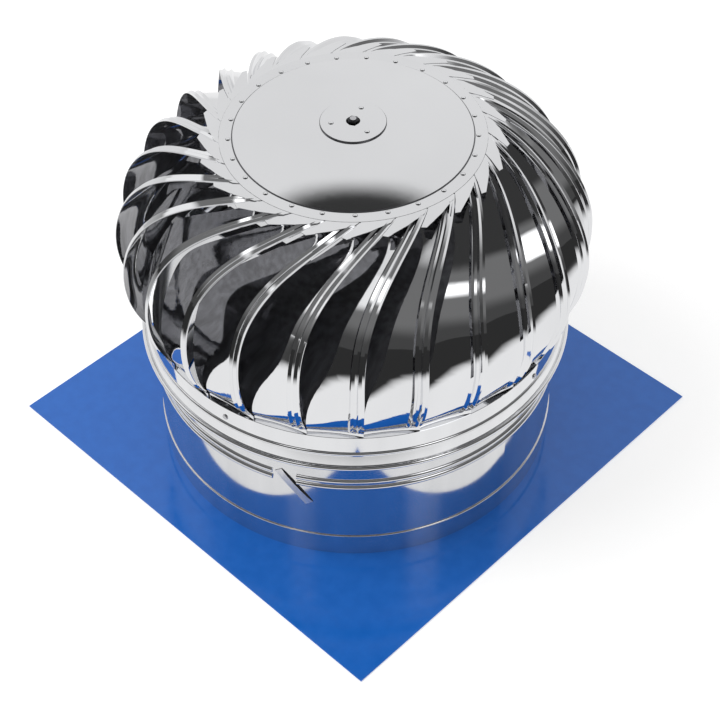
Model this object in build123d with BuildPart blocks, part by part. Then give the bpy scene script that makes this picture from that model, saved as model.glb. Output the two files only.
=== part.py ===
from build123d import *
from math import acos, cos, degrees, pi, radians, sin, sqrt, tan
import os

os.makedirs("parts", exist_ok=True)

# A wind-driven roof ventilator: a bladed head turns freely on a fixed shaft above a round
# throat, which stands on a square flashing plate. The origin is the centre of the plate's
# underside and +Z points up the shaft. Lengths are in millimetres, angles in degrees.

# Flashing plate and throat
base_side = 500.0
base_thickness = 1.2
sheet = 0.6
throat_radius = 205.0
throat_height = 156.8
collar_thickness = 1.0
collar_height = 22.0
collar_foot = 12.0
duct_margin = 2.3
low_bead_height = 27.5
low_bead_reach = 1.2
low_bead_half_width = 1.6
mid_bead_heights = (102.6, 111.4)
mid_bead_reach = 2.0
mid_bead_half_width = 3.2
seam_turn = 297.5
seam_tab_width = 9.0
seam_tab_length = 50.0
seam_tab_slope = 53.0
seam_tab_thickness = 1.6
seam_tab_height = 95.0
seam_bead_gap = 1.0

# Head: lower band, blades and crown
head_turn = 14.1
blade_count = 25
band_gap = 4.8
band_height = 40.5
skirt_overlap = 17.0
band_bead_height = 18.6
band_bead_reach = 1.6
band_bead_half_width = 2.4
band_flare = 3.6
band_flare_height = 15.0
band_hem_radius = 2.6
bulge_radius = 116.0
bulge_foot_reach = 95.0
foot_clearance = 0.3
foot_rise = 5.2
foot_tab_length = 11.0
foot_tuck = 1.4
blade_sheet = 0.6
blade_lean = 29.6
crown_angle = 85.0
blade_lean_power = 2.9
blade_span_ratio = 1.55
foot_span_ratio = 1.06
crown_span_ratio = 0.97
blade_depth = 40.0
blade_swell_power = 1.6
crown_swell_power = 0.85
middle_share = 0.5
blade_stations = 11
bead_offsets = (5.0, 12.5)
bead_half_width = 2.5
bead_reach = 2.2
bead_fade_share = 0.1
crown_fade_share = 0.05
bead_least_share = 0.03
crown_tab_length = 8.0
crown_rivet_inset = 8.6
crown_rivet_turn = 27.5
rim_reach = 9.6
rim_width = 12.7
rim_step = 0.9
rim_step_run = 1.2
cap_thickness = 0.8
cap_rise = 11.0
clamp_ring_thickness = 1.0
clamp_ring_width = 17.0
clamp_ring_margin = 2.4
clamp_ring_gap = 0.3
dome_middle_share = 0.72

# Hub, bearings and shaft
hub_disc_radius = 31.0
hub_seat_margin = 1.5
hub_disc_thickness = 1.5
hub_disc_chamfer = 0.5
hub_hole_radius = 6.6
hub_rivet_count = 3
hub_rivet_circle = 20.5
hub_rivet_turn = 112.9
bearing_bore_radius = 6.0
bearing_outer_radius = 14.0
bearing_width = 8.0
bearing_pitch_radius = 10.0
inner_race_radius = 8.5
outer_race_bore = 11.5
ball_radius = 2.2
ball_count = 8
ball_clearance = 0.08
cage_thickness = 1.4
cage_height = 2.8
cage_drop = 0.7
housing_wall = 2.5
housing_lip = 2.0
housing_lip_radius = 12.2
housing_flange_thickness = 2.5
housing_depth = 9.8
housing_flange_radius = 30.0
retainer_thickness = 1.2
retainer_bore_radius = 12.4
fit_clearance = 0.05
seat_gap = 0.1
shaft_shoulder_radius = 8.0
shaft_top_thread_radius = 3.0
shaft_tail = 4.0
spacer_wall = 1.8
washer_thickness = 1.2
top_washer_radius = 6.2
top_nut_across = 10.0
top_nut_height = 5.0
top_stud = 1.2
foot_washer_radius = 12.0
foot_nut_across = 19.0
foot_nut_height = 9.0

# Fixed cross bars in the throat and turning spider in the band
bar_end_count = 4
bar_width = 25.0
bar_thickness = 3.0
bar_leg = 18.0
bar_drop = 4.0
bar_wall_gap = 0.3
bar_rivet_drop = 16.0
bar_bend_radius = 2.0
spider_arm_count = 4
spider_arm_width = 20.0
spider_thickness = 2.5
spider_bend_radius = 2.0
spider_rise = 4.0
spider_leg = 10.0
spider_hub_radius = 33.0
spider_rivet_rise = 7.5
spider_turn = 9.0
housing_bolt_count = 4
housing_bolt_circle = 24.5
housing_bolt_radius = 2.5
housing_bolt_across = 8.0
housing_bolt_head = 3.5
housing_nut_height = 4.0
rivet_radius = 1.6
rivet_head_radius = 3.0
rivet_head_height = 1.1
rivet_head_taper = 30.0
rivet_tail_radius = 2.4
rivet_tail_height = 0.8
rivet_grip = 6.0

# Levels and radii that follow from the sizes above
quarter_turn = 90
half_turn = 2 * quarter_turn
full_turn = 2 * half_turn
blade_pitch = full_turn / blade_count
throat_inner_radius = throat_radius - sheet
throat_top = base_thickness + throat_height
band_bottom = throat_top - skirt_overlap
band_top = band_bottom + band_height
band_inner_radius = throat_radius + band_gap
band_radius = band_inner_radius + sheet
foot_radius = band_inner_radius - foot_clearance
bulge_centre_radius = foot_radius - bulge_foot_reach
foot_angle = -degrees(acos(bulge_foot_reach / bulge_radius))
bulge_centre_height = band_top + foot_rise - bulge_radius * sin(radians(foot_angle))
crown_top = bulge_centre_height + bulge_radius * sin(radians(crown_angle))
rim_radius = bulge_centre_radius + rim_reach
dome_radius = rim_radius - rim_width
crown_rivet_circle = rim_radius - crown_rivet_inset
crown_tab_radius = crown_rivet_circle - crown_tab_length
cap_flat_radius = hub_disc_radius + hub_seat_margin
cap_underside = crown_top + seat_gap + rim_step + cap_rise
hub_disc_bottom = cap_underside + cap_thickness
mid_bead_level = sum(mid_bead_heights) / len(mid_bead_heights)
mid_bead_span = max(mid_bead_heights) - min(mid_bead_heights) + 2 * mid_bead_half_width
seam_run = (mid_bead_level - seam_tab_height) / tan(radians(seam_tab_slope))
seam_half_gap = (
    mid_bead_span / 2 / tan(radians(seam_tab_slope))
    + seam_tab_width / 2 / sin(radians(seam_tab_slope))
    + seam_bead_gap
)
bead_start_turn = seam_turn + degrees((seam_half_gap - seam_run) / throat_radius)
bead_arc_turn = full_turn - 2 * degrees(seam_half_gap / throat_radius)
collar_radius = throat_inner_radius - 2 * fit_clearance
duct_opening_radius = collar_radius - collar_foot - duct_margin
bar_rivet_level = throat_top - bar_rivet_drop
crown_seat = crown_top + seat_gap
clamp_ring_top = crown_top - blade_sheet - clamp_ring_gap
upper_race_top = cap_underside - housing_lip
bar_level = throat_top - bar_drop - 2 * bar_thickness
shaft_shoulder_bottom = bar_level + 2 * bar_thickness
spider_level = throat_top + spider_rise
lower_race_bottom = spider_level + housing_lip
spider_top = spider_level + spider_thickness
spider_rivet_level = spider_level + spider_rivet_rise
bar_reach = sqrt(throat_inner_radius**2 - (bar_width / 2) ** 2) - bar_wall_gap
spider_reach = sqrt(band_inner_radius**2 - (spider_arm_width / 2) ** 2) - bar_wall_gap
shaft_radius = bearing_bore_radius - fit_clearance
housing_bore_radius = bearing_outer_radius + fit_clearance
housing_radius = housing_bore_radius + housing_wall
foot_washer_top = bar_level
foot_nut_top = foot_washer_top - washer_thickness
shaft_bottom = foot_nut_top - foot_nut_height - shaft_tail
top_nut_bottom = upper_race_top + washer_thickness
shaft_top = top_nut_bottom + top_nut_height + top_stud


def save(part, label):
    part.label = label
    export_step(part, f"parts/{label}.step")


def torus_point(depth, rise, turn):
    """Point of the bulge, sunk by depth, at a rise above its equator and a turn about the shaft."""
    radius = bulge_centre_radius + (bulge_radius - depth) * cos(radians(rise))
    height = bulge_centre_height + (bulge_radius - depth) * sin(radians(rise))
    return Vector(radius * cos(radians(turn)), radius * sin(radians(turn)), height)


def radial(turn):
    """Level unit vector pointing away from the shaft."""
    return Vector(cos(radians(turn)), sin(radians(turn)), 0)


def outward(rise, turn):
    """Unit vector square to the bulge."""
    return radial(turn) * cos(radians(rise)) + Vector(0, 0, sin(radians(rise)))


def tangent_plane(turn, level):
    """Plane square to the radius, with x level and y up, at a level on the shaft."""
    return Plane(origin=(0, 0, level), x_dir=radial(turn + quarter_turn), z_dir=radial(turn))


def wall_plane(radius, turn, level):
    """Plane square to the radius, with its origin on an upright wall."""
    return Plane(origin=radial(turn) * radius + Vector(0, 0, level), z_dir=radial(turn))


# One blade is a long rolled strip. Its free edge follows the bulge and leans over near the
# crown, its hidden edge runs deeper inside and passes under the blade beside it, and the two
# edges draw together at the foot and the crown, which closes the mouth at both ends.
def blade_rise(share):
    return foot_angle + (crown_angle - foot_angle) * share


def blade_edge_turn(share):
    return blade_lean * (max(blade_rise(share), 0) / crown_angle) ** blade_lean_power


def blade_swell(share):
    """Opening of the mouth, from 0 at the ends to 1 half way, and quicker to open at the crown."""
    power = blade_swell_power if share < middle_share else crown_swell_power
    return max(sin(pi * share), 0) ** power


def blade_hidden_turn(share):
    ends = foot_span_ratio + (crown_span_ratio - foot_span_ratio) * share
    pitches = ends + (blade_span_ratio - ends) * blade_swell(share)
    return blade_edge_turn(share) - blade_pitch * pitches


def blade_section_depth(share):
    return foot_tuck * (1 - share) + blade_depth * blade_swell(share)


def strip_plane(edge, hidden, normal):
    """Plane across the strip: x runs from the free edge to the hidden one, y points outward."""
    across = (hidden - edge).normalized()
    return Plane(origin=edge, x_dir=across, z_dir=across.cross(normal).normalized())


def strip_outline(width, bead_share):
    """Sheet section with its two beads beside the free edge."""
    face = [(0, 0)]
    for offset in bead_offsets:
        face.append((offset - bead_half_width, 0))
        face.append((offset, bead_reach * bead_share))
        face.append((offset + bead_half_width, 0))
    return face + [(width, 0), (width, -blade_sheet), (0, -blade_sheet)]


def blade_edges(share):
    edge = torus_point(0, blade_rise(share), blade_edge_turn(share))
    hidden = torus_point(blade_section_depth(share), blade_rise(share), blade_hidden_turn(share))
    return edge, hidden


def blade_normal(share):
    """Level at the foot and upright at the crown, where the flat tabs join."""
    middle_turn = (blade_edge_turn(share) + blade_hidden_turn(share)) / 2
    if share == 0:
        return radial(middle_turn)
    if share == 1:
        return Vector(0, 0, 1)
    return outward(blade_rise(share), middle_turn)


def blade_section(share):
    edge, hidden = blade_edges(share)
    bead_share = min(1, share / bead_fade_share, (1 - share) / crown_fade_share)
    with BuildSketch(strip_plane(edge, hidden, blade_normal(share))) as section:
        with BuildLine():
            Polyline(
                *strip_outline((hidden - edge).length, max(bead_share, bead_least_share)),
                close=True,
            )
        make_face()
    return section.sketch


foot_edge, foot_hidden = blade_edges(0)
foot_chord = foot_hidden - foot_edge
crown_edge_direction = radial(blade_edge_turn(1))
crown_hidden_direction = radial(blade_hidden_turn(1))
crown_radius = bulge_centre_radius + bulge_radius * cos(radians(crown_angle))

blade_shares = [station / (blade_stations - 1) for station in range(blade_stations)]
blade_shares.insert(-1, 1 - crown_fade_share)

with BuildPart() as blade_form:
    loft([blade_section(share) for share in blade_shares])
    # Foot tab, straight down inside the band, where it is clinched
    with BuildSketch(
        Plane(origin=foot_edge, x_dir=foot_chord, z_dir=foot_chord.cross(Vector(0, 0, 1)))
    ):
        with Locations((foot_chord.length / 2, -foot_tab_length / 2)):
            Rectangle(foot_chord.length, foot_tab_length)
    extrude(amount=blade_sheet)
    # Crown tab, level under the cap's rim, with its rivet hole
    with BuildSketch(Plane.XY.offset(crown_top - blade_sheet)):
        with BuildLine():
            Polyline(
                crown_edge_direction * crown_radius,
                crown_hidden_direction * crown_radius,
                crown_hidden_direction * crown_tab_radius,
                crown_edge_direction * crown_tab_radius,
                close=True,
            )
        make_face()
        with Locations(radial(crown_rivet_turn) * crown_rivet_circle):
            Circle(rivet_radius + fit_clearance, mode=Mode.SUBTRACT)
    extrude(amount=blade_sheet)


for number in range(blade_count):
    with BuildPart() as blade:
        add(blade_form.part.rotate(Axis.Z, head_turn + number * blade_pitch))
    save(blade.part, f"blade_{number + 1:02d}")

# Square flashing plate with the duct opening
with BuildPart() as base_plate:
    with BuildSketch():
        Rectangle(base_side, base_side)
        Circle(duct_opening_radius, mode=Mode.SUBTRACT)
    extrude(amount=base_thickness)
save(base_plate.part, "base_plate")

# Angle ring inside the throat, welded to the plate and to the throat
with BuildPart() as base_collar:
    with BuildSketch(Plane.XY.offset(base_thickness)):
        Circle(collar_radius)
        Circle(collar_radius - collar_foot, mode=Mode.SUBTRACT)
    extrude(amount=collar_thickness)
    with BuildSketch(Plane.XY.offset(base_thickness)):
        Circle(collar_radius)
        Circle(collar_radius - collar_thickness, mode=Mode.SUBTRACT)
    extrude(amount=collar_height)
save(base_collar.part, "base_collar")


def shaft_plane(turn):
    """Upright half plane through the shaft: x points outward at the turn, y points up."""
    return Plane(origin=(0, 0, 0), x_dir=radial(turn), z_dir=radial(turn - quarter_turn))


def bead_arc(radius, level, half_width, reach):
    """Half-round bead on the outside of an upright wall."""
    low = (radius, level - half_width)
    high = (radius, level + half_width)
    ThreePointArc(low, (radius + reach, level), high)
    Line(high, low)


# Throat tube. The low bead runs all round, and the double bead stops at the seam.
with BuildPart() as throat:
    with BuildSketch(shaft_plane(0)):
        with Locations((throat_radius - sheet / 2, (base_thickness + throat_top) / 2)):
            Rectangle(sheet, throat_height)
        with BuildLine():
            bead_arc(
                throat_radius,
                base_thickness + low_bead_height,
                low_bead_half_width,
                low_bead_reach,
            )
        make_face()
    revolve(axis=Axis.Z)
    with BuildSketch(shaft_plane(bead_start_turn)):
        for bead_level in mid_bead_heights:
            with BuildLine():
                bead_arc(
                    throat_radius,
                    base_thickness + bead_level,
                    mid_bead_half_width,
                    mid_bead_reach,
                )
            make_face()
    revolve(axis=Axis.Z, revolution_arc=bead_arc_turn)
    # Rivet holes for the cross bars
    for bar_end in range(bar_end_count):
        end_turn = bar_end * full_turn / bar_end_count
        with BuildSketch(wall_plane(throat_radius, end_turn, bar_rivet_level)):
            Circle(rivet_radius + fit_clearance)
        extrude(amount=rivet_grip, both=True, mode=Mode.SUBTRACT)
save(throat.part, "throat")

# Oblique lap of the throat's seam, a strip that follows the tube between the bead ends
with BuildPart() as seam_tab:
    with BuildSketch(Plane.XY.offset(base_thickness)):
        Circle(throat_radius + fit_clearance + seam_tab_thickness)
        Circle(throat_radius + fit_clearance, mode=Mode.SUBTRACT)
    extrude(amount=throat_height)
    with BuildSketch(tangent_plane(seam_turn, base_thickness + seam_tab_height)):
        with Locations(Location((0, 0, 0), (0, 0, -seam_tab_slope))):
            Rectangle(seam_tab_length, seam_tab_width)
    extrude(amount=2 * throat_radius, mode=Mode.INTERSECT)
save(seam_tab.part, "seam_tab")

# Lower band of the head: upright wall, bead, flared skirt and rolled hem
with BuildPart() as lower_band:
    with BuildSketch(shaft_plane(0)):
        with BuildLine():
            Polyline(
                (band_inner_radius, band_top),
                (band_inner_radius, band_bottom + band_flare_height),
                (band_inner_radius + band_flare, band_bottom + band_hem_radius),
                (band_radius + band_flare, band_bottom + band_hem_radius),
                (band_radius, band_bottom + band_flare_height),
                (band_radius, band_top),
                close=True,
            )
        make_face()
        with BuildLine():
            bead_arc(
                band_radius,
                band_bottom + band_bead_height,
                band_bead_half_width,
                band_bead_reach,
            )
        make_face()
        with Locations((band_radius + band_flare, band_bottom + band_hem_radius)):
            Circle(band_hem_radius)
    revolve(axis=Axis.Z)
    for arm in range(spider_arm_count):
        arm_turn = spider_turn + arm * full_turn / spider_arm_count
        with BuildSketch(wall_plane(band_radius, arm_turn, spider_rivet_level)):
            Circle(rivet_radius + fit_clearance)
        extrude(amount=rivet_grip, both=True, mode=Mode.SUBTRACT)
save(lower_band.part, "lower_band")

# Cap: flat rim over the blade tabs, a small step and a shallow dome up to the hub seat
dome_foot = (dome_radius, crown_seat + rim_step)
dome_head = (cap_flat_radius, cap_underside)
dome_middle = (
    (dome_radius + cap_flat_radius) / 2,
    crown_seat + rim_step + cap_rise * dome_middle_share,
)
lift = Vector(0, cap_thickness)
with BuildPart() as cap:
    with BuildSketch(shaft_plane(0)):
        with BuildLine():
            ThreePointArc(dome_foot, dome_middle, dome_head)
            Line(dome_head, (hub_hole_radius, cap_underside))
            Line((hub_hole_radius, cap_underside), Vector(hub_hole_radius, cap_underside) + lift)
            Line(Vector(hub_hole_radius, cap_underside) + lift, Vector(dome_head) + lift)
            ThreePointArc(
                Vector(dome_head) + lift,
                Vector(dome_middle) + lift,
                Vector(dome_foot) + lift,
            )
            Polyline(
                Vector(dome_foot) + lift,
                (dome_radius + rim_step_run, crown_seat + cap_thickness),
                (rim_radius, crown_seat + cap_thickness),
                (rim_radius, crown_seat),
                (dome_radius, crown_seat),
                dome_foot,
            )
        make_face()
    revolve(axis=Axis.Z)
    with BuildSketch(Plane.XY.offset(crown_seat + cap_thickness)):
        with PolarLocations(crown_rivet_circle, blade_count, head_turn + crown_rivet_turn):
            Circle(rivet_radius + fit_clearance)
    extrude(amount=-cap_thickness, mode=Mode.SUBTRACT)
    with BuildSketch(Plane.XY.offset(hub_disc_bottom)):
        with PolarLocations(hub_rivet_circle, hub_rivet_count, hub_rivet_turn):
            Circle(rivet_radius + fit_clearance)
    extrude(amount=-cap_thickness, mode=Mode.SUBTRACT)
save(cap.part, "cap")

# Ring that clamps the blade tabs up against the rim
with BuildPart() as clamp_ring:
    with BuildSketch(Plane.XY.offset(clamp_ring_top - clamp_ring_thickness)):
        Circle(crown_rivet_circle + clamp_ring_margin)
        Circle(crown_rivet_circle + clamp_ring_margin - clamp_ring_width, mode=Mode.SUBTRACT)
        with PolarLocations(crown_rivet_circle, blade_count, head_turn + crown_rivet_turn):
            Circle(rivet_radius + fit_clearance, mode=Mode.SUBTRACT)
    extrude(amount=clamp_ring_thickness)
save(clamp_ring.part, "clamp_ring")


def rivet(plane, grip):
    """Rivet with a low conical head on the plane and its shank through the grip below."""
    with BuildPart() as body:
        with BuildSketch(plane):
            Circle(rivet_head_radius)
        extrude(amount=rivet_head_height, taper=rivet_head_taper)
        with BuildSketch(plane):
            Circle(rivet_radius)
        extrude(amount=-grip)
        with BuildSketch(plane.offset(-grip)):
            Circle(rivet_tail_radius)
        extrude(amount=-rivet_tail_height)
    return body.part


def rivet_set(rivet_form, count, label):
    """Equal rivets round the shaft, kept as separate solids in one node."""
    copies = [rivet_form.rotate(Axis.Z, number * full_turn / count) for number in range(count)]
    save(Compound(children=copies), label)


crown_rivet_origin = radial(head_turn + crown_rivet_turn) * crown_rivet_circle + Vector(
    0, 0, crown_seat + cap_thickness + seat_gap
)
crown_rivet = rivet(
    Plane(origin=crown_rivet_origin),
    crown_seat + cap_thickness + 2 * seat_gap - clamp_ring_top + clamp_ring_thickness,
)
rivet_set(crown_rivet, blade_count, "crown_rivets")


# Hub disc and its rivets, which also hold the upper bearing housing
with BuildPart() as hub_disc:
    with BuildSketch(Plane.XY.offset(hub_disc_bottom)):
        Circle(hub_disc_radius)
        Circle(hub_hole_radius, mode=Mode.SUBTRACT)
        with PolarLocations(hub_rivet_circle, hub_rivet_count, hub_rivet_turn):
            Circle(rivet_radius + fit_clearance, mode=Mode.SUBTRACT)
    extrude(amount=hub_disc_thickness)
    top_rim = hub_disc.edges().filter_by(GeomType.CIRCLE).group_by(Axis.Z)[-1].sort_by(SortBy.RADIUS)
    chamfer(top_rim[-1], hub_disc_chamfer)
save(hub_disc.part, "hub_disc")

hub_rivet_origin = radial(hub_rivet_turn) * hub_rivet_circle + Vector(
    0, 0, hub_disc_bottom + hub_disc_thickness
)
hub_rivet = rivet(Plane(origin=hub_rivet_origin), hub_disc_thickness + cap_thickness + housing_lip)
rivet_set(hub_rivet, hub_rivet_count, "hub_rivets")

# Upper housing: flanged cup under the cap, whose lip rests on the outer race
with BuildPart() as upper_housing:
    with BuildSketch(Plane.XY.offset(upper_race_top)):
        Circle(housing_flange_radius)
        Circle(housing_lip_radius, mode=Mode.SUBTRACT)
        with PolarLocations(hub_rivet_circle, hub_rivet_count, hub_rivet_turn):
            Circle(rivet_radius + fit_clearance, mode=Mode.SUBTRACT)
    extrude(amount=housing_lip)
    with BuildSketch(Plane.XY.offset(upper_race_top)):
        Circle(housing_radius)
        Circle(housing_bore_radius, mode=Mode.SUBTRACT)
    extrude(amount=-housing_depth)
save(upper_housing.part, "upper_housing")

# Lower housing: cup let into the spider, with its flange on top and its lip below
with BuildPart() as lower_housing:
    with BuildSketch(Plane.XY.offset(spider_top)):
        Circle(housing_flange_radius)
        Circle(housing_bore_radius, mode=Mode.SUBTRACT)
        with PolarLocations(housing_bolt_circle, housing_bolt_count):
            Circle(housing_bolt_radius + fit_clearance, mode=Mode.SUBTRACT)
    extrude(amount=housing_flange_thickness)
    with BuildSketch(Plane.XY.offset(lower_race_bottom)):
        Circle(housing_radius)
        Circle(housing_bore_radius, mode=Mode.SUBTRACT)
    extrude(amount=housing_depth)
    with BuildSketch(Plane.XY.offset(lower_race_bottom)):
        Circle(housing_radius)
        Circle(housing_lip_radius, mode=Mode.SUBTRACT)
    extrude(amount=-housing_lip)
save(lower_housing.part, "lower_housing")

# Snap rings that keep both outer races in their cups
with BuildPart() as retainers:
    for ring_bottom in (lower_race_bottom + bearing_width, upper_race_top - bearing_width - retainer_thickness):
        with BuildSketch(Plane.XY.offset(ring_bottom)):
            Circle(bearing_outer_radius)
            Circle(retainer_bore_radius, mode=Mode.SUBTRACT)
        extrude(amount=retainer_thickness)
save(retainers.part, "retainers")


def bearing(bottom, name):
    """Ball bearing: two grooved races, a ring of balls and the cage that spaces them."""
    middle = bottom + bearing_width / 2
    for label, inside, outside in (
        ("inner_race", bearing_bore_radius, inner_race_radius),
        ("outer_race", outer_race_bore, bearing_outer_radius),
    ):
        with BuildPart() as race:
            with BuildSketch(shaft_plane(0)):
                with Locations(((inside + outside) / 2, middle)):
                    Rectangle(outside - inside, bearing_width)
                with Locations((bearing_pitch_radius, middle)):
                    Circle(ball_radius + ball_clearance, mode=Mode.SUBTRACT)
            revolve(axis=Axis.Z)
        save(race.part, f"{name}_{label}")
    with BuildPart() as balls:
        with Locations(Plane.XY.offset(middle)):
            with PolarLocations(bearing_pitch_radius, ball_count):
                Sphere(ball_radius)
    save(balls.part, f"{name}_balls")
    with BuildPart() as cage:
        with BuildSketch(Plane.XY.offset(middle - cage_drop)):
            Circle(bearing_pitch_radius + cage_thickness / 2)
            Circle(bearing_pitch_radius - cage_thickness / 2, mode=Mode.SUBTRACT)
        extrude(amount=-cage_height)
        with Locations(Plane.XY.offset(middle)):
            with PolarLocations(bearing_pitch_radius, ball_count):
                Sphere(ball_radius + ball_clearance, mode=Mode.SUBTRACT)
    save(cage.part, f"{name}_cage")


bearing(lower_race_bottom, "lower")
bearing(upper_race_top - bearing_width, "upper")

# Fixed shaft: threaded tail, shoulder under the lower bearing, long journal and top thread
with BuildPart() as shaft:
    for radius, bottom, top in (
        (shaft_radius, shaft_bottom, upper_race_top),
        (shaft_shoulder_radius, shaft_shoulder_bottom, lower_race_bottom),
        (shaft_top_thread_radius, upper_race_top, shaft_top),
    ):
        with BuildSketch(Plane.XY.offset(bottom)):
            Circle(radius)
        extrude(amount=top - bottom)
save(shaft.part, "shaft")

# Tube that holds the two inner races apart
with BuildPart() as spacer_tube:
    with BuildSketch(Plane.XY.offset(lower_race_bottom + bearing_width)):
        Circle(bearing_bore_radius + spacer_wall)
        Circle(bearing_bore_radius, mode=Mode.SUBTRACT)
    extrude(amount=upper_race_top - lower_race_bottom - 2 * bearing_width)
save(spacer_tube.part, "spacer_tube")


def washer(top, inner_radius, outer_radius, label):
    with BuildPart() as disc:
        with BuildSketch(Plane.XY.offset(top - washer_thickness)):
            Circle(outer_radius)
            Circle(inner_radius + fit_clearance, mode=Mode.SUBTRACT)
        extrude(amount=washer_thickness)
    save(disc.part, label)


def hex_nut(bottom, hole_radius, across, height, label):
    with BuildPart() as nut:
        with BuildSketch(Plane.XY.offset(bottom)):
            RegularPolygon(across / 2, 6, major_radius=False)
            Circle(hole_radius + fit_clearance, mode=Mode.SUBTRACT)
        extrude(amount=height)
    save(nut.part, label)


washer(foot_washer_top, shaft_radius, foot_washer_radius, "foot_washer")
hex_nut(foot_nut_top - foot_nut_height, shaft_radius, foot_nut_across, foot_nut_height, "foot_nut")
washer(top_nut_bottom, shaft_top_thread_radius, top_washer_radius, "top_washer")
hex_nut(top_nut_bottom, shaft_top_thread_radius, top_nut_across, top_nut_height, "top_nut")


def cross_bar(level, turn, label):
    """Flat bar across the throat, with both ends bent down against the wall."""
    top = level + bar_thickness
    leg_bottom = top - bar_leg
    with BuildPart() as bar:
        with BuildSketch(shaft_plane(turn)) as profile:
            with BuildLine():
                Polyline(
                    (-bar_reach, top),
                    (bar_reach, top),
                    (bar_reach, leg_bottom),
                    (bar_reach - bar_thickness, leg_bottom),
                    (bar_reach - bar_thickness, level),
                    (bar_thickness - bar_reach, level),
                    (bar_thickness - bar_reach, leg_bottom),
                    (-bar_reach, leg_bottom),
                    close=True,
                )
            make_face()
            corner_rows = profile.vertices().group_by(Axis.Y)
            fillet(corner_rows[-1], bar_bend_radius + bar_thickness)
            fillet(corner_rows[1], bar_bend_radius)
        extrude(amount=bar_width / 2, both=True)
        with BuildSketch(Plane.XY.offset(level)):
            Circle(bearing_bore_radius)
        extrude(amount=bar_thickness, mode=Mode.SUBTRACT)
        for end_turn in (turn, turn + half_turn):
            with BuildSketch(wall_plane(throat_radius, end_turn, bar_rivet_level)):
                Circle(rivet_radius + fit_clearance)
            extrude(amount=-rivet_grip, mode=Mode.SUBTRACT)
    save(bar.part, label)


cross_bar(bar_level, 0, "lower_cross_bar")
cross_bar(bar_level + bar_thickness, quarter_turn, "upper_cross_bar")
bar_rivet = rivet(
    wall_plane(throat_radius + seat_gap, 0, bar_rivet_level),
    throat_radius + 2 * seat_gap - bar_reach + bar_thickness,
)
rivet_set(bar_rivet, bar_end_count, "bar_rivets")

# Turning spider: hub ring and arms, each arm bent up against the band
with BuildPart() as head_spider:
    for arm in range(spider_arm_count):
        arm_turn = spider_turn + arm * full_turn / spider_arm_count
        with BuildSketch(shaft_plane(arm_turn)) as profile:
            with BuildLine():
                Polyline(
                    (housing_radius, spider_level),
                    (spider_reach, spider_level),
                    (spider_reach, spider_top + spider_leg),
                    (spider_reach - spider_thickness, spider_top + spider_leg),
                    (spider_reach - spider_thickness, spider_top),
                    (housing_radius, spider_top),
                    close=True,
                )
            make_face()
            corner_rows = profile.vertices().group_by(Axis.Y)
            fillet(corner_rows[0].sort_by(Axis.X)[-1], spider_bend_radius + spider_thickness)
            fillet(corner_rows[1].sort_by(Axis.X)[-1], spider_bend_radius)
        extrude(amount=spider_arm_width / 2, both=True)
    with BuildSketch(Plane.XY.offset(spider_level)):
        Circle(spider_hub_radius)
    extrude(amount=spider_thickness)
    with BuildSketch(Plane.XY.offset(spider_level)):
        Circle(housing_radius + seat_gap)
        with PolarLocations(housing_bolt_circle, housing_bolt_count):
            Circle(housing_bolt_radius + fit_clearance)
    extrude(amount=spider_thickness, mode=Mode.SUBTRACT)
    for arm in range(spider_arm_count):
        arm_turn = spider_turn + arm * full_turn / spider_arm_count
        with BuildSketch(wall_plane(band_radius, arm_turn, spider_rivet_level)):
            Circle(rivet_radius + fit_clearance)
        extrude(amount=-rivet_grip, mode=Mode.SUBTRACT)
save(head_spider.part, "head_spider")
spider_rivet = rivet(
    wall_plane(band_radius + seat_gap, spider_turn, spider_rivet_level),
    band_radius + 2 * seat_gap - spider_reach + spider_thickness,
)
rivet_set(spider_rivet, spider_arm_count, "spider_rivets")

# Bolts and nuts that hold the lower housing to the spider
with BuildPart() as housing_bolts:
    with BuildSketch(Plane.XY.offset(spider_top + housing_flange_thickness)):
        with PolarLocations(housing_bolt_circle, housing_bolt_count):
            RegularPolygon(housing_bolt_across / 2, 6, major_radius=False)
    extrude(amount=housing_bolt_head)
    with BuildSketch(Plane.XY.offset(spider_top + housing_flange_thickness)):
        with PolarLocations(housing_bolt_circle, housing_bolt_count):
            Circle(housing_bolt_radius)
    extrude(amount=-housing_flange_thickness - spider_thickness - housing_nut_height)
save(housing_bolts.part, "housing_bolts")
with BuildPart() as housing_nuts:
    with BuildSketch(Plane.XY.offset(spider_level)):
        with PolarLocations(housing_bolt_circle, housing_bolt_count):
            RegularPolygon(housing_bolt_across / 2, 6, major_radius=False)
            Circle(housing_bolt_radius + fit_clearance, mode=Mode.SUBTRACT)
    extrude(amount=-housing_nut_height)
save(housing_nuts.part, "housing_nuts")
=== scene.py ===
from math import cos, pi, radians, sin

import bmesh
import bpy
from mathutils import Matrix, Vector


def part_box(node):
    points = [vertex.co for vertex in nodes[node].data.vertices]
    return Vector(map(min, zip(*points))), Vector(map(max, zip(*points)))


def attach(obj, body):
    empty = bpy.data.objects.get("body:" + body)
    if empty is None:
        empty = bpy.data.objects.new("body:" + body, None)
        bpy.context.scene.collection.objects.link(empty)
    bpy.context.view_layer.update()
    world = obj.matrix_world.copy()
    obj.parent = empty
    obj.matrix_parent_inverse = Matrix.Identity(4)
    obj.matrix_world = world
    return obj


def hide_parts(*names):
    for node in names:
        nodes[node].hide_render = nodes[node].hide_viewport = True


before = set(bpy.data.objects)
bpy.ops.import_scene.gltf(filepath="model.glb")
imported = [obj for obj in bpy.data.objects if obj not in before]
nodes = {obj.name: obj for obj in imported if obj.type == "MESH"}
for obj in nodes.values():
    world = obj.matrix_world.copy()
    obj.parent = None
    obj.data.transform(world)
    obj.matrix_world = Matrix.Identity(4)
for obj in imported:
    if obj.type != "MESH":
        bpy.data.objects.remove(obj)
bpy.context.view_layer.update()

collection = bpy.context.scene.collection

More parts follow.
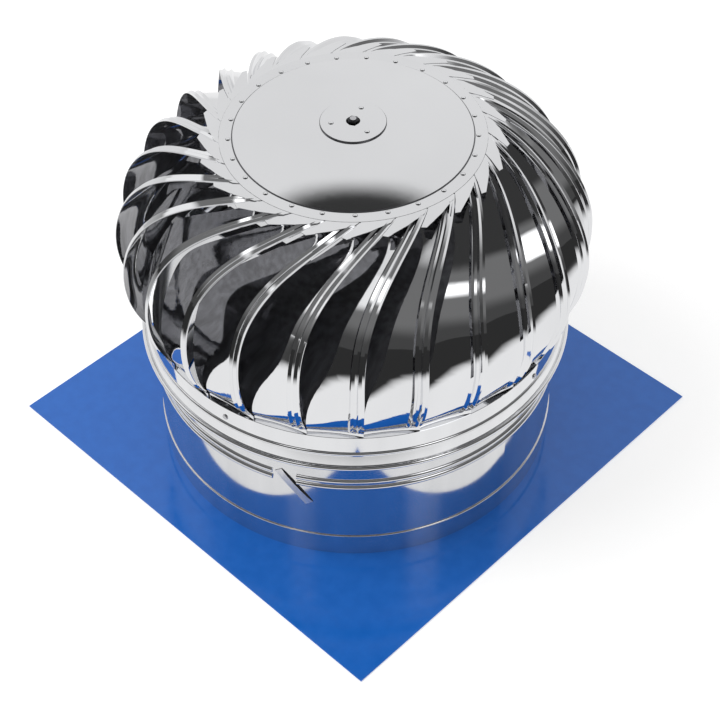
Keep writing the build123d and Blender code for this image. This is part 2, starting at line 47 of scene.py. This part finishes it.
# Flashing plate: one square sheet of steel, cut out for the duct and coated in a smooth
# semi-gloss blue on both sides. The coating has a fine ripple and slightly uneven gloss.
mill = 0.001  # one millimetre, in metres


def group_socket(group, name, kind, direction, value=None):
    """Adds one socket to a node group."""
    socket = group.interface.new_socket(name, in_out=direction, socket_type="NodeSocket" + kind)
    if value is not None:
        socket.default_value = value


def make_grain_group():
    """Mottles a colour, a gloss and a height with one noise over the piece's own coordinates."""
    group = bpy.data.node_groups.new("surface grain", "ShaderNodeTree")
    group_socket(group, "Colour", "Color", "INPUT", (0.5, 0.5, 0.5, 1))
    group_socket(group, "Second Colour", "Color", "INPUT", (0.5, 0.5, 0.5, 1))
    group_socket(group, "Scale", "Float", "INPUT", 20.0)
    group_socket(group, "Stretch", "Vector", "INPUT", (1, 1, 1))
    group_socket(group, "Low Roughness", "Float", "INPUT", 0.2)
    group_socket(group, "High Roughness", "Float", "INPUT", 0.3)
    group_socket(group, "Colour", "Color", "OUTPUT")
    group_socket(group, "Roughness", "Float", "OUTPUT")
    group_socket(group, "Height", "Float", "OUTPUT")
    start = group.nodes.new("NodeGroupInput")
    end = group.nodes.new("NodeGroupOutput")
    place = group.nodes.new("ShaderNodeTexCoord")
    stretch = group.nodes.new("ShaderNodeVectorMath")
    stretch.operation = "MULTIPLY"
    group.links.new(place.outputs["Object"], stretch.inputs[0])
    group.links.new(start.outputs["Stretch"], stretch.inputs[1])
    noise = group.nodes.new("ShaderNodeTexNoise")
    noise.inputs["Detail"].default_value = 3
    group.links.new(stretch.outputs["Vector"], noise.inputs["Vector"])
    group.links.new(start.outputs["Scale"], noise.inputs["Scale"])
    spread = group.nodes.new("ShaderNodeMapRange")
    spread.inputs["From Min"].default_value = 0.35
    spread.inputs["From Max"].default_value = 0.65
    group.links.new(noise.outputs["Fac"], spread.inputs["Value"])
    tint = group.nodes.new("ShaderNodeMix")
    tint.data_type = "RGBA"
    group.links.new(spread.outputs["Result"], tint.inputs["Factor"])
    group.links.new(start.outputs["Colour"], tint.inputs["A"])
    group.links.new(start.outputs["Second Colour"], tint.inputs["B"])
    group.links.new(tint.outputs["Result"], end.inputs["Colour"])
    gloss = group.nodes.new("ShaderNodeMapRange")
    group.links.new(spread.outputs["Result"], gloss.inputs["Value"])
    group.links.new(start.outputs["Low Roughness"], gloss.inputs["To Min"])
    group.links.new(start.outputs["High Roughness"], gloss.inputs["To Max"])
    group.links.new(gloss.outputs["Result"], end.inputs["Roughness"])
    group.links.new(noise.outputs["Fac"], end.inputs["Height"])
    return group


surface_grain = make_grain_group()


def place_grain(tree, colour, second, scale, stretch, rough):
    """Places the grain group in a material, with its own values."""
    grain = tree.nodes.new("ShaderNodeGroup")
    grain.node_tree = surface_grain
    grain.inputs["Colour"].default_value = (*colour, 1)
    grain.inputs["Second Colour"].default_value = (*second, 1)
    grain.inputs["Scale"].default_value = scale
    grain.inputs["Stretch"].default_value = stretch
    grain.inputs["Low Roughness"].default_value = rough[0]
    grain.inputs["High Roughness"].default_value = rough[1]
    return grain


def grained(name, colour, second, scale, stretch, rough, relief, metallic):
    """Material finished by the grain group. Relief is the height of the grain in metres."""
    material = bpy.data.materials.new(name)
    material.use_nodes = True
    tree = material.node_tree
    shader = tree.nodes["Principled BSDF"]
    shader.inputs["Metallic"].default_value = metallic
    grain = place_grain(tree, colour, second, scale, stretch, rough)
    grain.name = "grain"
    bump = tree.nodes.new("ShaderNodeBump")
    bump.inputs["Distance"].default_value = relief
    tree.links.new(grain.outputs["Colour"], shader.inputs["Base Color"])
    tree.links.new(grain.outputs["Roughness"], shader.inputs["Roughness"])
    tree.links.new(grain.outputs["Height"], bump.inputs["Height"])
    tree.links.new(bump.outputs["Normal"], shader.inputs["Normal"])
    return material


def dress(material, *names):
    """Gives CAD nodes their finish."""
    for name in names:
        slots = nodes[name].data.materials
        slots.clear()
        slots.append(material)


blue_coating = grained(
    "blue coating",
    colour=(0.010, 0.150, 0.62),
    second=(0.014, 0.165, 0.66),
    scale=70,
    stretch=(1, 1, 1),
    rough=(0.10, 0.15),
    relief=0.06 * mill,
    metallic=0,
)
blue_coating.node_tree.nodes["Principled BSDF"].inputs["IOR"].default_value = 1.62
dress(blue_coating, "base_plate")

# Throat: a thin stainless tube with a fine bead low down and a double bead near its top. An
# angle ring inside joins it to the plate. The sheet was polished along its length, so the
# marks run round the tube and draw each reflection out into an upright column.
polished_wall = grained(
    "polished wall",
    colour=(0.74, 0.745, 0.76),
    second=(0.66, 0.665, 0.68),
    scale=22,
    stretch=(1, 1, 0.12),
    rough=(0.07, 0.12),
    relief=0.05 * mill,
    metallic=0.97,
)
tree = polished_wall.node_tree
shader = tree.nodes["Principled BSDF"]
shader.inputs["Anisotropic"].default_value = 0.45
round_way = tree.nodes.new("ShaderNodeTangent")
round_way.direction_type = "RADIAL"
round_way.axis = "Z"
tree.links.new(round_way.outputs["Tangent"], shader.inputs["Tangent"])
dress(polished_wall, "throat")
zinc_plate = grained(
    "zinc plate",
    colour=(0.55, 0.56, 0.58),
    second=(0.40, 0.41, 0.43),
    scale=160,
    stretch=(1, 1, 1),
    rough=(0.28, 0.42),
    relief=0.03 * mill,
    metallic=1,
)
dress(zinc_plate, "base_collar")


def finish_piece(form, name, body, material, replaced=None):
    """Turns a bmesh into a piece, which may stand for a CAD node."""
    mesh = bpy.data.meshes.new(name)
    bmesh.ops.recalc_face_normals(form, faces=form.faces)
    form.to_mesh(mesh)
    form.free()
    mesh.shade_smooth()
    mesh.set_sharp_from_angle(angle=radians(40))
    mesh.materials.append(material)
    piece = bpy.data.objects.new(name, mesh)
    collection.objects.link(piece)
    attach(piece, body)
    if replaced:
        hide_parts(replaced)
    return piece


# Seam lap: the strip that closes the throat's seam between the ends of the double bead. It
# is folded from the same sheet, satin from the press, and lies aslant round the tube. Its
# upper edge stands off the wall as a step, coloured near black as painted shadow.
lap_low, lap_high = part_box("seam_tab")
throat_radius = 205 * mill
lap_turn = radians(297.5)
lap_slope = radians(53)
lap_length = 50 * mill
lap_width = 9 * mill
lap_thin, lap_thick = 0.5 * mill, 1.9 * mill
lap_sunk = 0.3 * mill
lap_half = 0.5
lap_level = (lap_low.z + lap_high.z) / 2
satin_lap = grained(
    "satin lap",
    colour=(0.80, 0.80, 0.81),
    second=(0.66, 0.66, 0.68),
    scale=260,
    stretch=(1, 1, 0.3),
    rough=(0.30, 0.42),
    relief=0.02 * mill,
    metallic=0.8,
)
# Painted shadow: a near-black finish for the step along the lap's upper edge.
painted_shadow_step = grained(
    "painted shadow step",
    colour=(0.03, 0.03, 0.035),
    second=(0.06, 0.06, 0.065),
    scale=300,
    stretch=(1, 1, 1),
    rough=(0.45, 0.6),
    relief=0.01 * mill,
    metallic=0.8,
)
form = bmesh.new()
bmesh.ops.create_grid(form, x_segments=24, y_segments=6, size=lap_half)
folded = bmesh.ops.extrude_face_region(form, geom=form.faces[:], use_keep_orig=True)["geom"]
top_side = {item for item in folded if isinstance(item, bmesh.types.BMVert)}
# Faces along the upper edge take the second material, the near-black painted shadow.
for face in form.faces:
    face.material_index = int(all(vert.co.y > 0.98 * lap_half for vert in face.verts))
for vert in form.verts:
    along, across = vert.co.x * lap_length, vert.co.y * lap_width
    round_the_tube = along * cos(lap_slope) + across * sin(lap_slope)
    height = lap_level - along * sin(lap_slope) + across * cos(lap_slope)
    swell = 1 - (abs(vert.co.x) / lap_half) ** 3
    lift = lap_thin + (lap_thick - lap_thin) * (vert.co.y + lap_half) * swell
    radius = throat_radius + (lift if vert in top_side else -lap_sunk)
    turn = lap_turn + round_the_tube / throat_radius
    vert.co = (radius * cos(turn), radius * sin(turn), height)
lap = finish_piece(form, "seam_lap", "base", satin_lap, "seam_tab")
lap.data.materials.append(painted_shadow_step)

# Fixed frame: two crossed flat bars riveted in the throat, and the shaft that stands on
# them with its nut and washer. Bars are zinc plated, the turned parts are bright steel.
dress(zinc_plate, "lower_cross_bar", "upper_cross_bar")
turned_steel = grained(
    "turned steel",
    colour=(0.62, 0.62, 0.64),
    second=(0.50, 0.50, 0.52),
    scale=12,
    stretch=(1, 1, 30),
    rough=(0.14, 0.28),
    relief=0.01 * mill,
    metallic=1,
)
dress(turned_steel, "bar_rivets", "shaft", "spacer_tube", "foot_washer", "foot_nut")

# Bearings: two deep-groove ball bearings, with ground steel races and balls and a pressed
# brass cage. The inner races sit on the shaft, the outer races turn with the head.
ground_steel = grained(
    "ground steel",
    colour=(0.70, 0.70, 0.72),
    second=(0.62, 0.62, 0.64),
    scale=120,
    stretch=(1, 1, 1),
    rough=(0.08, 0.15),
    relief=0.005 * mill,
    metallic=1,
)
dress(ground_steel, "lower_inner_race", "upper_inner_race", "lower_outer_race", "upper_outer_race")
dress(ground_steel, "lower_balls", "upper_balls")
cage_brass = grained(
    "cage brass",
    colour=(0.70, 0.48, 0.18),
    second=(0.58, 0.38, 0.13),
    scale=120,
    stretch=(1, 1, 1),
    rough=(0.20, 0.32),
    relief=0.01 * mill,
    metallic=1,
)
dress(cage_brass, "lower_cage", "upper_cage")

# Turning frame: a four-armed spider riveted to the lower band, and the two bearing cups
# with their snap rings and bolts. All of it is zinc plated.
dress(zinc_plate, "head_spider", "lower_housing", "upper_housing", "clamp_ring")
dress(turned_steel, "retainers", "housing_bolts", "housing_nuts", "spider_rivets")

# Lower band: the rolled ring that the blade feet are riveted in. It is the same sheet as
# the blades, polished bright, with a stiffening bead and turned edges.
band_steel = grained(
    "polished band",
    colour=(0.84, 0.845, 0.86),
    second=(0.78, 0.785, 0.80),
    scale=22,
    stretch=(1, 1, 0.12),
    rough=(0.04, 0.08),
    relief=0.05 * mill,
    metallic=1,
)
dress(band_steel, "lower_band")

# Blades: rolled strips of thin mirror-finish stainless, twisted so that each passes under
# the next, with two beads beside the free edge. The outer sides are polished. The inner sides
# get a dark, faintly streaked colour, which is painted shade for the mouths between blades.
blade_names = sorted(name for name in nodes if name.startswith("blade_"))
blade_steel = grained(
    "mirror stainless",
    colour=(0.84, 0.845, 0.86),
    second=(0.80, 0.805, 0.82),
    scale=14,
    stretch=(1, 1, 0.35),
    rough=(0.03, 0.065),
    relief=0.16 * mill,
    metallic=1,
)


def feed(tree, socket, value):
    """Links a socket to an output, or sets it to a plain value."""
    if isinstance(value, bpy.types.NodeSocket):
        tree.links.new(value, socket)
    elif value is not None:
        socket.default_value = value


def vector_step(tree, operation, first, second=None):
    """One vector step of a material. It puts out a number where the step makes one."""
    step = tree.nodes.new("ShaderNodeVectorMath")
    step.operation = operation
    feed(tree, step.inputs[0], first)
    feed(tree, step.inputs[1], second)
    return step.outputs["Value" if operation in ("DOT_PRODUCT", "LENGTH") else "Vector"]


def map_range(tree, value, low, high, smooth=False, to_low=0.0, to_high=1.0):
    """Stretches a value from one range to another, and stops it at the ends."""
    step = tree.nodes.new("ShaderNodeMapRange")
    step.interpolation_type = "SMOOTHSTEP" if smooth else "LINEAR"
    step.inputs["From Min"].default_value = low
    step.inputs["From Max"].default_value = high
    step.inputs["To Min"].default_value = to_low
    step.inputs["To Max"].default_value = to_high
    tree.links.new(value, step.inputs["Value"])
    return step.outputs["Result"]


def blend_values(tree, share, first, second, kind="FLOAT"):
    """Goes from the first to the second number or colour as share goes from 0 to 1."""
    mix = tree.nodes.new("ShaderNodeMix")
    mix.data_type = kind
    feed(tree, mix.inputs["Factor"], share)
    feed(tree, mix.inputs["A"], first)
    feed(tree, mix.inputs["B"], second)
    return mix.outputs["Result"]


# The blades bulge round a ring inside the head, and a side that faces the ring is an inner one.
bulge_centre_radius = 114.5 * mill
bulge_centre_height = 253.27 * mill
inner_from, inner_to = -2 * mill, -12 * mill
painted_shade_metal = 0.7
tree = blade_steel.node_tree
shader = tree.nodes["Principled BSDF"]
place = tree.nodes.new("ShaderNodeTexCoord")
level_point = vector_step(tree, "MULTIPLY", place.outputs["Object"], (1, 1, 0))
level_way = vector_step(tree, "NORMALIZE", level_point)
ring_reach = (bulge_centre_radius, bulge_centre_radius, 0)
ring_point = vector_step(tree, "MULTIPLY", level_way, ring_reach)
bulge_centre = vector_step(tree, "ADD", ring_point, (0, 0, bulge_centre_height))
from_centre = vector_step(tree, "SUBTRACT", place.outputs["Object"], bulge_centre)
facing = vector_step(tree, "DOT_PRODUCT", from_centre, place.outputs["Normal"])
# Painted shade: sides that face the ring get a dark streaked colour and less metal, standing in
# for the shade in the mouths between blades.
painted_shade_side = map_range(tree, facing, inner_from, inner_to)
painted_shade_streaks = place_grain(
    tree,
    colour=(0.19, 0.19, 0.20),
    second=(0.29, 0.29, 0.31),
    scale=160,
    stretch=(1, 1, 0.12),
    rough=(0.03, 0.08),
)
grain = tree.nodes["grain"].outputs
tint = blend_values(tree, painted_shade_side, grain["Colour"], painted_shade_streaks.outputs["Colour"], "RGBA")
gloss = blend_values(tree, painted_shade_side, grain["Roughness"], painted_shade_streaks.outputs["Roughness"])
tree.links.new(tint, shader.inputs["Base Color"])
tree.links.new(gloss, shader.inputs["Roughness"])
metal = blend_values(tree, painted_shade_side, 1, painted_shade_metal)
tree.links.new(metal, shader.inputs["Metallic"])
dress(blade_steel, *blade_names)

# Crown tabs: where each blade meets the cap's rim, its sheet is folded level and cut to a
# point, so the tabs make a ring of teeth. They lie on the blades' shoulders, outside the
# ring of rivets.
blade_count = len(blade_names)
crown_edge_turn = 43.7
tab_sheet = 0.6 * mill
tab_slope = 0.11
tab_start = 124.3
tab_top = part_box("cap")[0].z + 0.58 * mill
# Corners of one tab: millimetres from the shaft, and degrees from its blade's crown edge.
tab_outline = [
    (tab_start, -14.1),
    (131.0, -17.0),
    (142.0, -21.6),
    (144.0, -19.8),
    (135.5, -11.0),
    (128.5, -2.6),
    *((tab_start, -0.5 - 3.4 * step) for step in range(4)),
]
form = bmesh.new()
corners = []
for reach_out, turn_back in tab_outline:
    turn = radians(crown_edge_turn + turn_back)
    radius = reach_out * mill
    height = tab_top - tab_slope * (radius - tab_start * mill)
    corners.append(form.verts.new((radius * cos(turn), radius * sin(turn), height)))
tab = form.faces.new(corners)
folded = bmesh.ops.extrude_face_region(form, geom=[tab], use_keep_orig=True)["geom"]
under_side = [item for item in folded if isinstance(item, bmesh.types.BMVert)]
bmesh.ops.translate(form, verts=under_side, vec=(0, 0, -tab_sheet))
bmesh.ops.spin(
    form,
    geom=form.verts[:] + form.edges[:] + form.faces[:],
    cent=(0, 0, 0),
    axis=(0, 0, 1),
    angle=2 * pi * (blade_count - 1) / blade_count,
    steps=blade_count - 1,
    use_duplicate=True,
)
finish_piece(form, "crown_tabs", "head", blade_steel)

# Cap and hub disc: spun from the same sheet. The disc spreads the load of the three hub
# rivets. Their faces are polished. Every face that tilts away from up, such as the steps, the
# cut edges and the rivet heads' sides, is rougher and darker, and the darkness is painted shade.
spun_steel = grained(
    "spun stainless",
    colour=(0.84, 0.845, 0.86),
    second=(0.80, 0.805, 0.82),
    scale=6,
    stretch=(1, 1, 1),
    rough=(0.05, 0.09),
    relief=0.3 * mill,
    metallic=1,
)
tree = spun_steel.node_tree
shader = tree.nodes["Principled BSDF"]
place = tree.nodes.new("ShaderNodeTexCoord")
level_face, tilted_face = 0.93, 0.82
painted_shade_colour, cut_roughness = (0.16, 0.16, 0.17, 1), 0.45
up_share = vector_step(tree, "DOT_PRODUCT", place.outputs["Normal"], (0, 0, 1))
# Painted shade: faces that tilt away from up get a dark colour, whatever light falls on them.
painted_shade_edge = map_range(tree, up_share, level_face, tilted_face)
grain = tree.nodes["grain"].outputs
tint = blend_values(tree, painted_shade_edge, grain["Colour"], painted_shade_colour, "RGBA")
gloss = blend_values(tree, painted_shade_edge, grain["Roughness"], cut_roughness)
tree.links.new(tint, shader.inputs["Base Color"])
tree.links.new(gloss, shader.inputs["Roughness"])
dress(spun_steel, "cap", "hub_disc")


def rivet_heads(name, centres, top, radius, height, replaced):
    """Low domed heads, spun from a short arc, one over each hole."""
    form = bmesh.new()
    for centre in centres:
        arc = [
            form.verts.new(
                (
                    centre.x + radius * sin(radians(angle)),
                    centre.y,
                    top + height * cos(radians(angle)),
                )
            )
            for angle in range(0, 91, 15)
        ]
        edges = [form.edges.new(pair) for pair in zip(arc, arc[1:])]
        bmesh.ops.spin(
            form,
            geom=arc + edges,
            cent=centre,
            axis=(0, 0, 1),
            angle=2 * pi,
            steps=16,
            use_merge=True,
        )
    bmesh.ops.remove_doubles(form, verts=form.verts, dist=1e-6)
    bmesh.ops.holes_fill(form, edges=form.edges, sides=0)
    finish_piece(form, name, "head", spun_steel, replaced)


def ring_points(radius, count, first_turn):
    """Points spaced evenly round the shaft."""
    turns = [radians(first_turn + number * 360 / count) for number in range(count)]
    return [Vector((radius * cos(turn), radius * sin(turn), 0)) for turn in turns]


rim_rivets = ring_points(radius=115.5 * mill, count=blade_count, first_turn=41.6)
rim_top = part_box("crown_rivets")[1].z - 1.1 * mill
rivet_heads(
    "crown_rivet_heads",
    rim_rivets,
    rim_top,
    radius=2.3 * mill,
    height=0.7 * mill,
    replaced="crown_rivets",
)
disc_rivets = ring_points(radius=20.5 * mill, count=3, first_turn=112.9)
disc_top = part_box("hub_disc")[1].z
rivet_heads(
    "hub_rivet_heads",
    disc_rivets,
    disc_top,
    radius=2.4 * mill,
    height=0.8 * mill,
    replaced="hub_rivets",
)

# Top nut: a blackened hexagon nut with chamfered corners, run down on the stud over its
# bright washer.
dark_steel = grained(
    "blackened steel",
    colour=(0.035, 0.035, 0.04),
    second=(0.06, 0.06, 0.065),
    scale=300,
    stretch=(1, 1, 1),
    rough=(0.25, 0.4),
    relief=0.01 * mill,
    metallic=1,
)
nut_low, nut_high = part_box("top_nut")
nut_radius = (nut_high.x - nut_low.x) / 2
nut_chamfer = 0.5 * mill
form = bmesh.new()
bmesh.ops.create_cone(
    form,
    cap_ends=True,
    segments=6,
    radius1=nut_radius,
    radius2=nut_radius,
    depth=nut_high.z - nut_low.z,
)
bmesh.ops.translate(form, verts=form.verts, vec=(0, 0, (nut_low.z + nut_high.z) / 2))
bmesh.ops.bevel(
    form,
    geom=form.edges[:],
    offset=nut_chamfer,
    affect="EDGES",
    segments=2,
    profile=0.5,
    material=-1,
)
finish_piece(form, "cap_nut", "base", dark_steel, "top_nut")
dress(turned_steel, "top_washer")

# Studio: a white floor that fades out to a dark room, a white wall far behind, three soft
# boxes that only shiny surfaces show, and one lamp. The camera looks down at the plate's
# corner.
camera_turn = radians(44.529)
camera_rise = radians(46.385)
camera_roll = radians(-0.483)
camera_distance = 1687.425 * mill
aim_height = 151.2 * mill
aim_right = 4.45 * mill
aim_down = 59.175 * mill
floor_half = 30
floor_drop = 0.5 * mill


def number_step(tree, operation, first, second=None):
    """One number step of a material."""
    step = tree.nodes.new("ShaderNodeMath")
    step.operation = operation
    feed(tree, step.inputs[0], first)
    feed(tree, step.inputs[1], second)
    return step.outputs["Value"]


def shown_to(tree, ray, own, others):
    """Shows one kind of ray a shader of its own, and every other ray the last one."""
    path = tree.nodes.new("ShaderNodeLightPath")
    choice = tree.nodes.new("ShaderNodeMixShader")
    tree.links.new(path.outputs[ray], choice.inputs["Fac"])
    tree.links.new(others, choice.inputs[1])
    tree.links.new(own, choice.inputs[2])
    return choice.outputs["Shader"]


floor_form = bmesh.new()
bmesh.ops.create_grid(floor_form, x_segments=1, y_segments=1, size=floor_half)
bmesh.ops.translate(floor_form, verts=floor_form.verts, vec=(0, 0, -floor_drop))
floor_mesh = bpy.data.meshes.new("floor")
floor_form.to_mesh(floor_mesh)
floor_form.free()
floor = bpy.data.objects.new("floor", floor_mesh)
collection.objects.link(floor)
floor_paper = bpy.data.materials.new("floor paper")
floor_paper.use_nodes = True
tree = floor_paper.node_tree
paper = tree.nodes["Principled BSDF"]
paper.inputs["Base Color"].default_value = (0.86, 0.86, 0.86, 1)
paper.inputs["Roughness"].default_value = 0.8
paper.inputs["Specular IOR Level"].default_value = 0
# Metal shows the floor bright near the part, dark farther off in front, and pale far behind.
# These are distances from the shaft in metres, and then the strengths.
front_from, front_to = -0.2, 0.3
near_from, near_to = 0.62, 0.86
far_from, far_to = 1.5, 3.0
bright, dark, pale = 0.92, 0.03, 0.8
place = tree.nodes.new("ShaderNodeTexCoord")
away = vector_step(tree, "LENGTH", place.outputs["Object"])
to_front = (sin(camera_turn), -cos(camera_turn), 0)
forward = vector_step(tree, "DOT_PRODUCT", place.outputs["Object"], to_front)
front = map_range(tree, forward, front_from, front_to, smooth=True)
near_floor = map_range(tree, away, near_from, near_to, smooth=True, to_low=bright, to_high=dark)
far_floor = map_range(tree, away, far_from, far_to, smooth=True, to_low=bright, to_high=pale)
seen_in_metal = tree.nodes.new("ShaderNodeEmission")
level = blend_values(tree, front, far_floor, near_floor)
tree.links.new(level, seen_in_metal.inputs["Strength"])
lift = tree.nodes.new("ShaderNodeEmission")
lift.inputs["Strength"].default_value = 0.45
lifted = tree.nodes.new("ShaderNodeAddShader")
tree.links.new(paper.outputs["BSDF"], lifted.inputs[0])
tree.links.new(lift.outputs["Emission"], lifted.inputs[1])
seen = shown_to(tree, "Is Camera Ray", lifted.outputs["Shader"], paper.outputs["BSDF"])
seen = shown_to(tree, "Is Glossy Ray", seen_in_metal.outputs["Emission"], seen)
tree.links.new(seen, tree.nodes["Material Output"].inputs["Surface"])
floor_mesh.materials.append(floor_paper)

world = bpy.data.worlds.new("studio")
bpy.context.scene.world = world
world.use_nodes = True
tree = world.node_tree
place = tree.nodes.new("ShaderNodeTexCoord")
to_right = (cos(camera_turn), sin(camera_turn), 0)
forward = vector_step(tree, "DOT_PRODUCT", place.outputs["Generated"], to_front)
sideways = vector_step(tree, "DOT_PRODUCT", place.outputs["Generated"], to_right)
upward = vector_step(tree, "DOT_PRODUCT", place.outputs["Generated"], (0, 0, 1))
sky_turn = number_step(tree, "ARCTAN2", sideways, forward)
sky_rise = number_step(tree, "ARCSINE", upward)


def soft_box(turn_at, turn_half, rise_at, rise_half, strength, edge=4):
    """Brightness of one soft box. Its degrees run round from the front and up from level."""
    shares = []
    for angle, middle, half in (
        (sky_turn, turn_at, turn_half),
        (sky_rise, rise_at, rise_half),
    ):
        off_middle = number_step(tree, "SUBTRACT", angle, radians(middle))
        off_middle = number_step(tree, "ABSOLUTE", off_middle)
        outer, inner = radians(half + edge), radians(half - edge)
        shares.append(map_range(tree, off_middle, outer, inner, smooth=True))
    inside = number_step(tree, "MULTIPLY", *shares)
    return number_step(tree, "MULTIPLY", inside, strength)


# Shiny surfaces show a wall behind, a dim room with a dark ceiling, and the soft boxes.
behind_from, behind_to = 1.5, 2.1  # radians
wall_top, wall_full = radians(66), radians(56)
ceiling_full, ceiling_edge = radians(66), radians(58)
room_low, room_high = radians(8), radians(24)
least_light = 0.05
off_front = number_step(tree, "ABSOLUTE", sky_turn)
behind = map_range(tree, off_front, behind_from, behind_to, smooth=True)
wall = map_range(tree, sky_rise, wall_top, wall_full, smooth=True, to_high=0.97)
wall = number_step(tree, "MULTIPLY", behind, wall)
room = map_range(tree, sky_rise, room_low, room_high, smooth=True, to_low=0.03, to_high=0.17)
open_side = map_range(tree, sky_rise, ceiling_full, ceiling_edge, smooth=True)
room = number_step(tree, "MULTIPLY", room, open_side)
total = number_step(tree, "MAXIMUM", wall, room)
total = number_step(tree, "ADD", total, least_light)
# Each box has its turn, half its width, its rise, half its height, and its strength.
for box in (
    (-34, 8, 46, 6, 2.5),
    (41, 10, 40, 13, 2.5),
    (-100, 16, 34, 16, 1.2),
):
    total = number_step(tree, "MAXIMUM", total, soft_box(*box))
mirror_sky = tree.nodes.new("ShaderNodeBackground")
tree.links.new(total, mirror_sky.inputs["Strength"])
plain_sky = tree.nodes["Background"]
plain_sky.inputs["Color"].default_value = (1, 1, 1, 1)
plain_sky.inputs["Strength"].default_value = 0.62
white_sky = tree.nodes.new("ShaderNodeBackground")
white_sky.inputs["Color"].default_value = (1, 1, 1, 1)
mirrored, plain = mirror_sky.outputs["Background"], plain_sky.outputs["Background"]
seen = shown_to(tree, "Is Glossy Ray", mirrored, plain)
seen = shown_to(tree, "Is Camera Ray", white_sky.outputs["Background"], seen)
tree.links.new(seen, tree.nodes["World Output"].inputs["Surface"])

light = bpy.data.lights.new("soft lamp", "AREA")
light.shape = "DISK"
light.size = 1.8
light.energy = 30
lamp = bpy.data.objects.new("soft lamp", light)
lamp.location = (-1.2, -1.5, 2.6)
lamp_aim = Vector((0, 0, 0.1))
lamp.rotation_euler = (lamp_aim - lamp.location).to_track_quat("-Z", "Y").to_euler()
lamp.visible_glossy = False
collection.objects.link(lamp)

right = Vector(to_right)
backward = Vector(to_front) * cos(camera_rise) + Vector((0, 0, sin(camera_rise)))
upright = backward.cross(right)
aim = Vector((0, 0, aim_height)) + right * aim_right - upright * aim_down
side = right * cos(camera_roll) + upright * sin(camera_roll)
top = upright * cos(camera_roll) - right * sin(camera_roll)
lens = bpy.data.cameras.new("camera")
lens.lens = 82.97
lens.sensor_width = 36
lens.clip_end = 100
camera = bpy.data.objects.new("camera", lens)
camera.matrix_world = (
    Matrix.Translation(aim + backward * camera_distance)
    @ Matrix((side, top, backward)).transposed().to_4x4()
)
collection.objects.link(camera)
bpy.context.scene.camera = camera
bpy.context.scene.view_settings.view_transform = "Standard"
